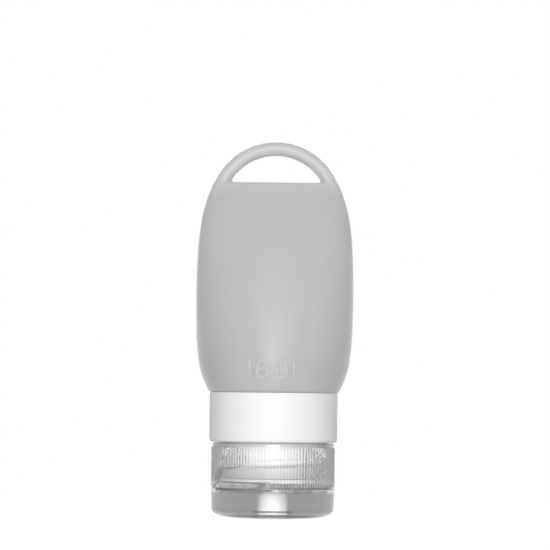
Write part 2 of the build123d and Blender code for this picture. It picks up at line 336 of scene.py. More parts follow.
def mark_skin(
    piece: Piece, hollow: float, under: float, crest: float, groove: float,
    shares: Sequence[tuple[float, float]],
) -> None:
    """Marks the outside of a hollow clear piece, and how deep its grooves are, for the painted shade of its
    material.

    A face is skin when it lies beyond the hollow and looks away from the axis, or when it lies under a
    level and looks down. A groove's share grows from 0 at the crest's radius to 1 a groove's depth
    further in.

    Args:
        piece: The piece to mark.
        hollow: Radius just beyond the hollow.
        under: Level just above the piece's underside.
        crest: Radius of the grooves' crests, 0 for a piece without any.
        groove: Depth of a groove.
        shares: How much painted shade the skin carries, as levels and shares. It is less where solid plastic
        lies behind it, which carries more light out.
    """
    least = 0.2  # of a face's normal has to point a way for the face to look that way
    centres, normals = (read(piece.data.polygons, what) for what in ("center", "normal"))
    radius = np.hypot(centres[:, 0], centres[:, 1])
    away = (centres[:, :2] * normals[:, :2]).sum(axis=1) / np.maximum(radius, TINY)
    outside = ((radius > hollow) & (away > least)) | ((centres[:, 2] < under) & (normals[:, 2] < -least))
    mark(piece, "skin", "FACE", outside * np.interp(centres[:, 2], *np.transpose(shares)))
    points = read(piece.data.vertices, "co")
    reach = np.hypot(points[:, 0], points[:, 1])
    mark(piece, "groove", "POINT", np.clip((crest - reach) / groove, 0, 1) * (reach > hollow))


# Finishes


def linear(colour: str) -> tuple[float, float, float, float]:
    """Turns an sRGB hex colour into the linear values that Blender's sockets take."""
    channels = [int(colour.lstrip("#")[at : at + 2], 16) / 255 for at in (0, 2, 4)]
    red, green, blue = (c / 12.92 if c <= 0.04045 else ((c + 0.055) / 1.055) ** 2.4 for c in channels)
    return red, green, blue, 1.0


def add_node(
    tree: Tree, kind: str, inputs: dict[str | int, Any] | None = None, **settings: Any
) -> bpy.types.Node:
    """Adds a shader node with its settings and its inputs.

    Args:
        tree: The node tree.
        kind: The node's type without its ShaderNode prefix.
        inputs: Values, or output sockets to link, by the input's name or place.
        **settings: The node's own settings.

    Returns:
        The new node.
    """
    node = tree.nodes.new("ShaderNode" + kind)
    for key, value in settings.items():
        setattr(node, key, value)
    for key, value in (inputs or {}).items():
        if isinstance(value, Socket):
            tree.links.new(value, node.inputs[key])
        else:
            node.inputs[key].default_value = value
    return node


def mixed(tree: Tree, share: Socket, low: Any, high: Any) -> Socket:
    """Two colours, each a linear one or a socket, mixed by a share."""
    return add_node(tree, "Mix", {"Factor": share, "A": low, "B": high}, data_type="RGBA").outputs["Result"]


def blended(tree: Tree, share: Any, low: Socket, high: Socket) -> Socket:
    """Two shaders mixed by a share."""
    return add_node(tree, "MixShader", {0: share, 1: low, 2: high}).outputs["Shader"]


def maths(tree: Tree, operation: str, first: Socket, second: Socket) -> Socket:
    """One value worked out from two."""
    return add_node(tree, "Math", {0: first, 1: second}, operation=operation).outputs["Value"]


def ramp(tree: Tree, value: Socket, ends: Sequence[float], levels: Sequence[float], kind: str) -> Socket:
    """Goes from the first to the second of two ends while a value rises between two levels."""
    names = ("To Min", "To Max", "From Min", "From Max")
    inputs = {"Value": value, **dict(zip(names, (*ends, *levels)))}
    return add_node(tree, "MapRange", inputs, interpolation_type=kind).outputs["Result"]


def coordinate(tree: Tree, point: Socket, axis: str) -> Socket:
    """One coordinate of a point."""
    return add_node(tree, "SeparateXYZ", {"Vector": point}).outputs[axis]


def marked(tree: Tree, name: str) -> Socket:
    """The number that a piece's mesh carries under a name."""
    return add_node(tree, "Attribute", attribute_name=name).outputs["Fac"]


def clouds(tree: Tree, point: Socket, size: float, detail: float) -> Socket:
    """Cloudy variation between 0 and 1, its clouds as wide as a size."""
    return add_node(tree, "TexNoise", {"Vector": point, "Scale": 1 / size, "Detail": detail}).outputs["Fac"]


def bumped(tree: Tree, height: Socket, distance: float) -> Socket:
    """The normal of a surface that a height between 0 and 1 lifts by up to a distance."""
    return add_node(tree, "Bump", {"Height": height, "Distance": distance}).outputs["Normal"]


def new_tree(name: str) -> tuple[bpy.types.Material, Tree]:
    """A new material with an empty node tree."""
    material = bpy.data.materials.new(name)
    material.use_nodes = True
    material.node_tree.nodes.clear()
    return material, material.node_tree


@dataclass(frozen=True)
class Finish:
    """A surface of the object, built as a material once and shared by every piece that has it."""

    name: str

    def shader(self, tree: Tree, point: Socket) -> Socket:
        """Builds the surface from the piece's own coordinates."""
        raise NotImplementedError

    def material(self) -> bpy.types.Material:
        """Builds the material, or gives the one built before under this name."""
        if self.name in bpy.data.materials:
            return bpy.data.materials[self.name]
        material, tree = new_tree(self.name)
        shader = self.shader(tree, add_node(tree, "TexCoord").outputs["Object"])
        add_node(tree, "OutputMaterial", {"Surface": shader})
        return material


@dataclass(frozen=True)
class MouldedFinish(Finish):
    """A moulded plastic or rubber surface.

    Its colour and gloss drift a little from place to place, and a fine grain lifts it, as on a piece that
    left a textured or worn mould.
    """

    colour: str
    shade: str
    roughness: float
    roughness_drift: float
    mottle_size: float
    grain_size: float
    grain_height: float
    ior: float = 1.49
    specular: float = 0.5
    subsurface: float = 0.0
    scatter_depth: float = 0.0
    sheen: float = 0.0
    sheen_roughness: float = 0.4

    def base(self, tree: Tree, point: Socket, mottle: Socket) -> Socket:
        """Colour of the surface: the two colours mixed by the mottle."""
        return mixed(tree, mottle, linear(self.shade), linear(self.colour))

    def shader(self, tree: Tree, point: Socket) -> Socket:
        """Mottled colour and gloss under a fine grain."""
        mottle = clouds(tree, point, self.mottle_size, 3.0)
        gloss = (self.roughness - self.roughness_drift, self.roughness + self.roughness_drift)
        return add_node(tree, "BsdfPrincipled", {
            "Base Color": self.base(tree, point, mottle),
            "Roughness": ramp(tree, mottle, gloss, (0.0, 1.0), "LINEAR"),
            "IOR": self.ior,
            "Specular IOR Level": self.specular,
            "Subsurface Weight": self.subsurface,
            "Subsurface Radius": (1.0, 1.0, 1.0),
            "Subsurface Scale": self.scatter_depth,
            "Sheen Weight": self.sheen,
            "Sheen Roughness": self.sheen_roughness,
            "Normal": bumped(tree, clouds(tree, point, self.grain_size, 2.0), self.grain_height),
        }).outputs["BSDF"]


@dataclass(frozen=True)
class PaintedShadeFinish(MouldedFinish):
    """Milky plastic or silicone with painted shade: its colour darkens towards its lower end, where less
    light gets into the wall. Raised marks can carry a painted highlight.
    """

    painted_shade_colour: str = "#808080"
    low_level: float = 0.0
    high_level: float = 1.0
    # Painted highlight: a lighter colour for the raised figures
    raised_highlight_colour: str | None = None

    def base(self, tree: Tree, point: Socket, mottle: Socket) -> Socket:
        """The mottled colour above, a painted shade colour below, and a painted highlight colour for raised
        marks if it has one.
        """
        levels = (self.low_level, self.high_level)
        share = ramp(tree, coordinate(tree, point, "Z"), (0.0, 1.0), levels, "SMOOTHSTEP")
        # Painted shade: below the high level the colour goes over to the darker one
        with_painted_shade = mixed(tree, share, linear(self.painted_shade_colour), super().base(tree, point, mottle))
        if self.raised_highlight_colour is None:
            return with_painted_shade
        # Painted highlight: the raised figures are lightened by the share that the mesh marks
        return mixed(tree, marked(tree, "raised"), with_painted_shade, linear(self.raised_highlight_colour))


@dataclass(frozen=True)
class ClearFinish(Finish):
    """Clear moulded plastic: the surroundings show through it, bent by its walls, and lamps shine through.

    What lies inside it shows bright. Only what is seen through the whole piece, which leaves by the
    faces marked as skin, turns grey by a painted shade tint. Grooves of the skin carry painted shade too,
    a darker tint that dims what is behind them a little.
    """

    tint: str
    groove_shade_tint: str
    far_shade_tint: str
    roughness: float
    roughness_drift: float
    ripple_size: float
    ripple_height: float
    ior: float = 1.49

    def base(self, tree: Tree) -> Socket:
        """The tint, with the grooves' painted shade tint and, for light that leaves by the skin, the far
        painted shade tint mixed in.
        """
        # Painted shade: a darker tint in the grooves, by how deep each point lies in one
        near = mixed(tree, marked(tree, "groove"), linear(self.tint), linear(self.groove_shade_tint))
        leaving = maths(
            tree, "MULTIPLY", marked(tree, "skin"), add_node(tree, "NewGeometry").outputs["Backfacing"]
        )
        # Painted shade: what leaves by the skin takes the far grey tint
        return mixed(tree, leaving, near, linear(self.far_shade_tint))

    def shader(self, tree: Tree, point: Socket) -> Socket:
        """Clear walls with faint ripples, through which lamps light the inside as in a thin shell."""
        ripple = clouds(tree, point, self.ripple_size, 1.0)
        gloss = (self.roughness - self.roughness_drift, self.roughness + self.roughness_drift)
        surface = add_node(tree, "BsdfPrincipled", {
            "Base Color": self.base(tree),
            "Roughness": ramp(tree, ripple, gloss, (0.0, 1.0), "LINEAR"),
            "IOR": self.ior,
            "Transmission Weight": 1.0,
            "Normal": bumped(tree, ripple, self.ripple_height),
        })
        rays = add_node(tree, "LightPath")
        open_wall = add_node(tree, "BsdfTransparent").outputs["BSDF"]
        return blended(tree, rays.outputs["Is Shadow Ray"], surface.outputs["BSDF"], open_wall)


# Milky silicone from a polished mould: light sinks in and comes out soft, so that its curves look quiet,
# with a faint bloom along the sides; painted shade darkens its lower end, and a painted highlight lightens
# the raised figures
SILICONE = PaintedShadeFinish(
    name="moulded_milky_silicone", colour="#C9C9C9", shade="#C6C6C6", roughness=0.34, roughness_drift=0.04,
    mottle_size=14.0 * MM, grain_size=0.35 * MM, grain_height=0.006 * MM, ior=1.41, specular=0.3,
    subsurface=1.0, scatter_depth=6.0 * MM, sheen=0.6, painted_shade_colour="#C4C4C4", low_level=38.0 * MM,
    high_level=70.0 * MM, raised_highlight_colour="#CBCBCB",
)
# Filled polypropylene from an etched mould: an even satin white with a wide, weak highlight
WHITE_SATIN = MouldedFinish(
    name="moulded_white_polypropylene", colour="#F4F4F4", shade="#F1F1F1", roughness=0.55,
    roughness_drift=0.04, mottle_size=10.0 * MM, grain_size=0.3 * MM, grain_height=0.004 * MM,
    subsurface=0.15, scatter_depth=0.8 * MM,
)
# White polyethylene from a polished mould: clean and slightly glossy
WHITE_GLOSS = MouldedFinish(
    name="moulded_white_polyethylene", colour="#F6F6F6", shade="#F2F2F2", roughness=0.3,
    roughness_drift=0.04, mottle_size=8.0 * MM, grain_size=0.4 * MM, grain_height=0.004 * MM,
    subsurface=0.1, scatter_depth=0.6 * MM,
)
# Polyethylene without pigment: a waxy off-white, with painted shade that greys it towards its lower end, deep
# in the cap
NATURAL_WHITE = PaintedShadeFinish(
    name="moulded_natural_polyethylene", colour="#DFDFDF", shade="#DBDBDB", roughness=0.4,
    roughness_drift=0.04, mottle_size=8.0 * MM, grain_size=0.4 * MM, grain_height=0.004 * MM,
    subsurface=0.3, scatter_depth=1.0 * MM, painted_shade_colour="#A4A4A4", low_level=9.0 * MM,
    high_level=19.0 * MM,
)
# White filled silicone: soft and nearly matt, the brightest thing inside the lid
WHITE_RUBBER = MouldedFinish(
    name="moulded_white_silicone", colour="#F2F2F2", shade="#ECECEC", roughness=0.45, roughness_drift=0.05,
    mottle_size=3.0 * MM, grain_size=0.25 * MM, grain_height=0.006 * MM, ior=1.41, subsurface=0.2,
    scatter_depth=1.0 * MM,
)
# Washer cut from rubber sheet: dull light grey with a fine grain
GREY_RUBBER = MouldedFinish(
    name="cut_grey_washer_rubber", colour="#D2D2D2", shade="#C6C6C6", roughness=0.6, roughness_drift=0.06,
    mottle_size=2.0 * MM, grain_size=0.2 * MM, grain_height=0.01 * MM,
)
# Styrene from a polished mould: what is inside shows bright; painted shade greys the view through two walls
# and darkens the grooves
CLEAR_PLASTIC = ClearFinish(
    name="moulded_clear_styrene", tint="#FBFBFB", groove_shade_tint="#E8E8E8", far_shade_tint="#565656",
    roughness=0.08, roughness_drift=0.032, ripple_size=2.5 * MM, ripple_height=0.01 * MM,
)


def place(piece: Piece, node: Node, body: Body, finish: Finish) -> None:
    """Gives a piece its finish, its body and the node that it stands for, and reports it."""
    piece.data.materials.clear()
    piece.data.materials.append(finish.material())
    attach(piece, body.value)
    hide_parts(node.value)
    LOG.info("%s: %d faces, rides on %s", piece.name, len(piece.data.polygons), body.value)


# Cap


@dataclass(frozen=True)
class CapFrame:
    """What the cap's pieces share: its outline, the way its thumb side faces, and its hinge axis."""

    radius: float = 18.8 * MM
    hollow: float = 17.45 * MM
    turn: float = math.radians(-33.0)
    parting: float = 9.0 * MM
    hinge_out: float = 20.2 * MM
    hinge_level: float = 9.075 * MM
    knuckle_radius: float = 1.15 * MM
    bar_edge: float = 0.2 * MM

    @property
    def side(self) -> Array:
        """Direction along the hinge."""
        return np.array((math.cos(self.turn), math.sin(self.turn), 0.0))

    @property
    def back(self) -> Array:
        """Direction from the cap's middle to the hinge."""
        return np.array((-math.sin(self.turn), math.cos(self.turn), 0.0))

    @property
    def thumb_angle(self) -> float:
        """Direction of the thumb side, as an angle from +X."""
        return self.turn - math.pi / 2

    def across(self, radius: Array, angle: Array) -> Array:
        """How far a point lies to the side of the thumb side's middle, and very far on the hinge's half."""
        off, far = angle - self.thumb_angle, 1.0
        return np.where(np.cos(off) > 0, np.abs(radius * np.sin(off)), far)

    def bar(self, low: float, high: float, radius: float) -> Shell:
        """Round bar along the hinge axis between two places along it, with slightly rounded ends."""
        edge = min(self.bar_edge, radius / 3)
        line = rounded_line([(0, low), (radius, low), (radius, high), (0, high)], 1.0 * MM, edge)
        turn = circle(40)
        spot = self.back * self.hinge_out + np.array((0, 0, self.hinge_level))
        rings = line[:, None, :1] * (turn[:, :1] * self.back + turn[:, 1:] * np.array((0, 0, 1.0)))
        return grid_shell(spot + rings + line[:, None, 1:] * self.side, closed_rows=False)

    def web(self, low: float, high: float, bottom: float, top: float, root: float) -> Shell:
        """Block from the cap's wall out to the hinge axis, between two places along it and two levels."""
        corners = [(low, bottom), (high, bottom), (high, top), (low, top)]
        ring = np.array([self.side * s + np.array((0, 0, z)) for s, z in corners])
        return capped(np.stack([ring + self.back * out for out in (root, self.hinge_out)]))


CAP = CapFrame()


@dataclass
class FlipLid:
    """Clear cup that the bottle stands on, with a thumb tab, a seal cup and the hinge knuckle."""

    wall: float = 1.5 * MM
    face: float = 1.5 * MM
    side_radius: float = 18.6 * MM
    foot_radius: float = 12.0 * MM
    curve_reach: float = 6.6 * MM
    curve_height: float = 2.6 * MM
    inner_foot: float = 16.1 * MM
    inner_curve: float = 1.2 * MM
    dish_radius: float = 8.6 * MM
    dish_depth: float = 0.4 * MM
    edge: float = 0.25 * MM
    cup_radius: float = 5.05 * MM
    cup_wall: float = 0.9 * MM
    cup_top: float = 2.3 * MM
    tab_half_width: float = 10.23 * MM
    tab_corner: float = 1.2 * MM
    tab_inner: float = 17.9 * MM
    tab_outer: float = 19.3 * MM
    tab_bottom: float = 8.5 * MM
    tab_top: float = 11.2 * MM
    rim_start: float = 7.4 * MM
    rim_step: float = 0.001 * MM
    rim_rows: int = 46
    knuckle_half: float = 2.0 * MM
    stub_half: float = 3.8 * MM
    stub_radius: float = 0.6 * MM
    columns: int = 420
    tab_end_columns: int = 25

    # Levels with the skin's share of painted shade there: behind the upper wall stands the base's land
    SKIN = ((7.6 * MM, 1.0), (7.9 * MM, 0.55))

    def directions(self) -> Array:
        """Directions of the grid's columns, closer together at the two ends of the tab."""
        plain = around(self.columns, CAP.thumb_angle)
        end = math.asin(self.tab_half_width / CAP.radius)
        near = np.linspace(-0.07, 0.02, self.tab_end_columns)
        added = np.concatenate((CAP.thumb_angle + end + near, CAP.thumb_angle - end - near)) % FULL_TURN
        return np.unique(np.round(np.concatenate((plain % FULL_TURN, added)), 6))

    def tab_share(self, angle: Array) -> Array:
        """How much of the tab stands at a direction: 1 on its width, falling round its corners to 0."""
        corner = self.tab_corner
        beyond = CAP.across(np.full_like(angle, self.tab_outer), angle) - (self.tab_half_width - corner)
        drop = corner - np.sqrt(np.clip(corner**2 - np.clip(beyond, 0, None) ** 2, 0, None))
        return np.where(beyond < corner, 1 - drop / (self.tab_top - CAP.parting), 0.0)

    def side(self, level: float) -> float:
        """Radius of the wall's outside, which leans in evenly from the parting line down to the curve."""
        share = (level - self.curve_height) / (CAP.parting - self.curve_height)
        return self.side_radius + (CAP.radius - self.side_radius) * share

    def curve(self, foot: float, level: float, reach: float, height: float) -> Array:
        """Quarter of an ellipse from a flat foot up to a side, as radii and heights."""
        turn = np.linspace(0.0, math.pi / 2, 17)
        return np.column_stack((foot + reach * np.sin(turn), level + height * (1 - np.cos(turn))))

    def rim(self, outer: float, inner: float, top: float, start: float, foot: float) -> Array:
        """The wall's upper end as a line over its top, cut into the same steps whatever its sizes."""
        low, edge = self.rim_start, self.edge
        base_inner = CAP.radius - self.wall
        line = rounded_line([
            (self.side(low), low), (self.side(start), start), (outer, start + edge), (outer, top),
            (inner, top), (inner, foot), (base_inner, foot - edge), (base_inner, low),
        ], 0.25 * MM, edge)
        walked = np.concatenate(([0.0], np.cumsum(np.linalg.norm(np.diff(line, axis=0), axis=1))))
        marks = np.linspace(0.0, walked[-1], self.rim_rows)
        return np.stack([np.interp(marks, walked, line[:, axis]) for axis in (0, 1)], axis=-1)

    def cup(self) -> Shell:
        """The lid without its hinge: the cup's line carried round, its rim shifted towards the tab.

        The rim's line is the plain one plus the tab's share times the step from the plain line to the
        tab's.
        """
        wall_inner, start = CAP.radius - self.wall, self.tab_bottom - self.edge
        foot = rounded_line([
            (0, self.dish_depth), (self.dish_radius, self.dish_depth),
            (self.dish_radius + self.dish_depth, 0), (self.foot_radius, 0),
        ], 1.0 * MM, self.edge)
        curve = self.curve(self.foot_radius, 0.0, self.curve_reach, self.curve_height)
        wall = rounded_line([
            (self.side_radius, self.curve_height), (self.side(self.rim_start), self.rim_start),
        ], 1.0 * MM)
        hollow = self.curve(self.inner_foot, self.face, self.inner_curve, self.inner_curve)
        cup_outer = self.cup_radius + self.cup_wall
        inside = rounded_line([
            (wall_inner, self.rim_start), *((*spot, 0) for spot in hollow[::-1]), (cup_outer, self.face),
            (cup_outer, self.cup_top), (self.cup_radius, self.cup_top), (self.cup_radius, self.face),
            (0, self.face),
        ], 1.0 * MM, self.edge)
        step = self.rim_step
        plain = self.rim(CAP.radius + step, wall_inner - step, CAP.parting, start, self.tab_bottom)
        raised = self.rim(self.tab_outer, self.tab_inner, self.tab_top, start, CAP.parting)
        angles = self.directions()
        share = self.tab_share(angles)[None, :, None]
        flat = plain[:, None] + share * (raised - plain)[:, None]
        rim = np.stack((flat[..., 0] * np.cos(angles), flat[..., 0] * np.sin(angles), flat[..., 1]), axis=-1)
        under = turned(np.concatenate((foot[:-1], curve[:-1], wall)), angles)
        return grid_shell(np.concatenate((under, rim[1:-1], turned(inside, angles))), closed_rows=False)

    def mesh(self) -> Piece:
        """Builds the lid: the cup, then the hinge's knuckle with its web and its two stub pins."""
        lid = make_object("flip_lid_clear", [self.cup()])
        half, stub, level = self.knuckle_half, self.stub_half, CAP.hinge_level
        combined(lid, [
            CAP.bar(-half, half, CAP.knuckle_radius),
            CAP.web(-half, half, level - CAP.knuckle_radius, level, CAP.radius - self.wall / 2),
            CAP.bar(-stub, stub, self.stub_radius),
        ], "UNION")
        crease(lid, 40.0)
        mark_skin(lid, CAP.hollow, self.face + self.inner_curve, 0.0, self.edge, self.SKIN)
        return lid

    def dress(self) -> None:
        """Builds the lid and puts it on the lid's body."""
        place(self.mesh(), Node.FLIP_LID, Body.LID, CLEAR_PLASTIC)


@dataclass(frozen=True)
class Thread:
    """Right-hand screw thread of the neck, which the base's thread follows half a pitch higher."""

    pitch: float = 4.2 * MM
    root_width: float = 3.0 * MM
    crest_width: float = 1.0 * MM
    neck_radius: float = 15.7 * MM
    depth: float = 0.9 * MM
    clearance: float = 0.35 * MM
    run_out: float = math.radians(10.0)
    wall_found: float = 0.02 * MM

    def ridge(
        self, grid: Sequence[Array], wall: float, start: float, turns: float, height: float
    ) -> Array:
        """Radii of a turned grid with a ridge on one of its walls.

        A ridge climbs one pitch for each turn. Its height falls from 1 to 0 along its flanks, from half
        the crest's width to half the root's width away from its middle, and over the run-out at its ends.

        Args:
            grid: The grid's radii, heights and angles.
            wall: Radius of the wall that carries the ridge.
            start: Height where the ridge begins.
            turns: How far it goes round.
            height: How far it stands out, less than 0 for a ridge that stands inwards.

        Returns:
            The new radii.
        """
        radius, level, angle = grid
        around_share = (angle % FULL_TURN) / FULL_TURN
        best = np.zeros_like(level)
        for turn in range(math.ceil(turns)):
            travelled = around_share + turn
            off = np.abs(level - start - self.pitch * travelled)
            flank = (self.root_width / 2 - off) / ((self.root_width - self.crest_width) / 2)
            ends = np.minimum(travelled, turns - travelled) * 2 * math.pi / self.run_out
            best = np.maximum(best, np.clip(flank, 0, 1) * np.clip(ends, 0, 1))
        return np.where(np.abs(radius - wall) < self.wall_found, radius + best * height, radius)


THREAD = Thread()


@dataclass
class CapBase:
    """Clear screw base: a ribbed tube on a deck, with a scoop for the thumb and two hinge ears."""

    bottom: float = 9.15 * MM
    top: float = 22.6 * MM
    outer: float = 18.5 * MM
    inner: float = 17.1 * MM
    deck_top: float = 10.65 * MM
    hole: float = 4.65 * MM
    land_inner: float = 15.8 * MM
    land_outer: float = 17.0 * MM
    land_bottom: float = 7.85 * MM
    socket_inner: float = 6.9 * MM
    socket_outer: float = 8.0 * MM
    socket_top: float = 13.55 * MM
    edge: float = 0.15 * MM
    top_edge: float = 0.4 * MM
    rib_count: int = 120
    rib_columns: int = 8
    rib_height: float = 0.3 * MM
    rib_width: float = 0.541 * MM
    rib_flank: float = 0.16 * MM
    rib_bottom: float = 9.3 * MM
    rib_top: float = 21.4 * MM
    rib_run_out: float = 0.2 * MM
    ribbed_from: float = 18.1 * MM
    scoop_radius: float = 17.75 * MM
    scoop_half_width: float = 10.53 * MM
    scoop_top: float = 15.25 * MM
    scoop_corner: float = 3.7 * MM
    scoop_edge: float = 0.22 * MM
    thread_start: float = 15.65 * MM
    thread_turns: float = 0.5
    ear_near: float = 2.1 * MM
    ear_far: float = 4.3 * MM
    ear_root: float = 17.65 * MM
    stub_hole: float = 0.65 * MM
    slack: float = 0.01 * MM

    # The skin's share of painted shade beside the deck, which carries light out, and above it
    SKIN = (0.6, 0.93)

    def ribs(self, height: Array, angle: Array) -> Array:
        """How far the ribs lift the wall: their height, faded over a flank beside and above each one."""
        pitch = FULL_TURN / self.rib_count
        off = np.abs((angle + pitch / 2) % pitch - pitch / 2) * self.outer
        beside = smooth_step((self.rib_width / 2 - off) / self.rib_flank + 0.5)
        inside = np.minimum(height - self.rib_bottom, self.rib_top - height)
        return self.rib_height * beside * smooth_step(inside / self.rib_run_out)

    def scoop(self, radius: Array, height: Array, angle: Array) -> Array:
        """1 inside the scoop and 0 outside it.

        The distance to its outline, a rectangle with two round upper corners and no lower end, is taken
        from the corner's centre, and the step is spread over the edge's width.
        """
        side = CAP.across(radius, angle) - (self.scoop_half_width - self.scoop_corner)
        rise = height - (self.scoop_top - self.scoop_corner)
        outside = np.hypot(np.clip(side, 0, None), np.clip(rise, 0, None))
        distance = outside + np.minimum(np.maximum(side, rise), 0) - self.scoop_corner
        return smooth_step(0.5 - distance / self.scoop_edge)

    def shaped(self, radius: Array, height: Array, angle: Array) -> Grids:
        """New radii and heights: ribs and scoop on the outside, and the thread on the inside."""
        outside = (radius > self.ribbed_from) & (height >= self.bottom - self.slack)
        lifted = radius + np.where(outside, self.ribs(height, angle), 0.0)
        dug = np.minimum(lifted, self.scoop_radius)
        share = self.scoop(np.full_like(radius, self.outer), height, angle)
        result = np.where(outside, lifted + share * (dug - lifted), radius)
        depth = THREAD.neck_radius + THREAD.clearance - self.inner
        return THREAD.ridge(
            (result, height, angle), self.inner, self.thread_start, self.thread_turns, depth
        ), height

    def mesh(self) -> Piece:
        """Builds the base: its line carried round, with ribs, scoop and thread, then the hinge's ears."""
        scoop_end, rib_end = self.scoop_top + 0.5 * MM, self.rib_top - self.rib_run_out
        thread_foot = self.thread_start - 2.0 * MM
        runs = (
            # Scoop, plain ribs, shoulder with the thread, and the rest of the inside, each with its step
            (0.26 * MM, [(self.land_outer, self.bottom), (self.outer, self.bottom), (self.outer, scoop_end)]),
            (3.0 * MM, [(self.outer, scoop_end), (self.outer, rib_end)]),
            (0.3 * MM, [
                (self.outer, rib_end), (self.outer, self.rib_top, 0), (self.outer, self.top, self.top_edge),
                (self.inner, self.top), (self.inner, thread_foot),
            ]),
            (4.0 * MM, [
                (self.inner, thread_foot), (self.inner, self.deck_top), (self.socket_outer, self.deck_top),
                (self.socket_outer, self.socket_top), (self.socket_inner, self.socket_top),
                (self.socket_inner, self.deck_top), (self.hole, self.deck_top), (self.hole, self.bottom),
                (self.land_inner, self.bottom), (self.land_inner, self.land_bottom),
                (self.land_outer, self.land_bottom), (self.land_outer, self.bottom),
            ]),
        )
        line = np.concatenate([rounded_line(corners, step, self.edge)[:-1] for step, corners in runs])
        columns = self.rib_columns * self.rib_count
        base = turned_piece("cap_base_clear", line, columns, closed=True, change=self.shaped)
        ears, level = [], CAP.hinge_level
        for low, high in ((-self.ear_far, -self.ear_near), (self.ear_near, self.ear_far)):
            ears.append(CAP.bar(low, high, CAP.knuckle_radius))
            ears.append(CAP.web(low, high, level, level + CAP.knuckle_radius, self.ear_root))
        combined(base, ears, "UNION")
        reach = self.ear_far + 1.0 * MM
        combined(base, [CAP.bar(-reach, reach, self.stub_hole)], "DIFFERENCE")
        crease(base, 35.0)
        levels = (self.deck_top - self.edge, self.deck_top + self.edge)
        crest = self.outer + self.rib_height
        mark_skin(base, CAP.hollow, 0.0, crest, self.rib_height, list(zip(levels, self.SKIN)))
        return base

    def dress(self) -> None:
        """Builds the base and puts it on the cap's body."""
        place(self.mesh(), Node.CAP_BASE, Body.CAP, CLEAR_PLASTIC)


@dataclass
class Spout:
    """Soft white spout with a cross slit, and the ring that holds its flange in the deck's socket."""

    radius: float = 4.6 * MM
    bore: float = 3.5 * MM
    tip: float = 1.85 * MM
    tip_wall: float = 1.0 * MM
    tip_round: float = 0.5 * MM
    flange_radius: float = 6.8 * MM
    flange_bottom: float = 10.7 * MM
    flange_top: float = 11.9 * MM
    edge: float = 0.2 * MM
    slit_half: float = 2.5 * MM
    slit_width: float = 0.2 * MM
    slit_beyond: float = 1.0 * MM
    ring_radii: tuple[float, float] = (3.6 * MM, 6.85 * MM)
    ring_levels: tuple[float, float] = (11.95 * MM, 13.35 * MM)
    columns: int = 128

    def blade(self, half_x: float, half_y: float) -> Shell:
        """Flat closed block through the spout's tip, as wide and deep as the two half sizes."""
        ring = [(-half_x, -half_y), (half_x, -half_y), (half_x, half_y), (-half_x, half_y)]
        levels = (self.tip - self.slit_beyond, self.tip + self.tip_wall + self.slit_beyond)
        return capped(np.array([[(*spot, level) for spot in ring] for level in levels]))

    def valve_mesh(self) -> Piece:
        """Builds the spout: its line carried round, then the two slits cut through the tip."""
        tip_top = self.tip + self.tip_wall
        line = rounded_line([
            (0, self.tip), (self.radius, self.tip, self.tip_round), (self.radius, self.flange_bottom),
            (self.flange_radius, self.flange_bottom), (self.flange_radius, self.flange_top),
            (self.bore, self.flange_top), (self.bore, tip_top), (0, tip_top),
        ], 1.0 * MM, self.edge)
        spout = turned_piece("spout_soft", line, self.columns, closed=False)
        half = self.slit_width / 2
        combined(spout, [self.blade(self.slit_half, half), self.blade(half, self.slit_half)], "DIFFERENCE")
        crease(spout, 40.0)
        return spout

    def dress(self) -> None:
        """Builds both pieces and puts them on the cap's body."""
        place(self.valve_mesh(), Node.SLIT_VALVE, Body.CAP, WHITE_RUBBER)
        ring = flat_ring("spout_ring", self.ring_radii, self.ring_levels, self.edge, self.columns)
        place(ring, Node.VALVE_RETAINER, Body.CAP, WHITE_GLOSS)


# Neck


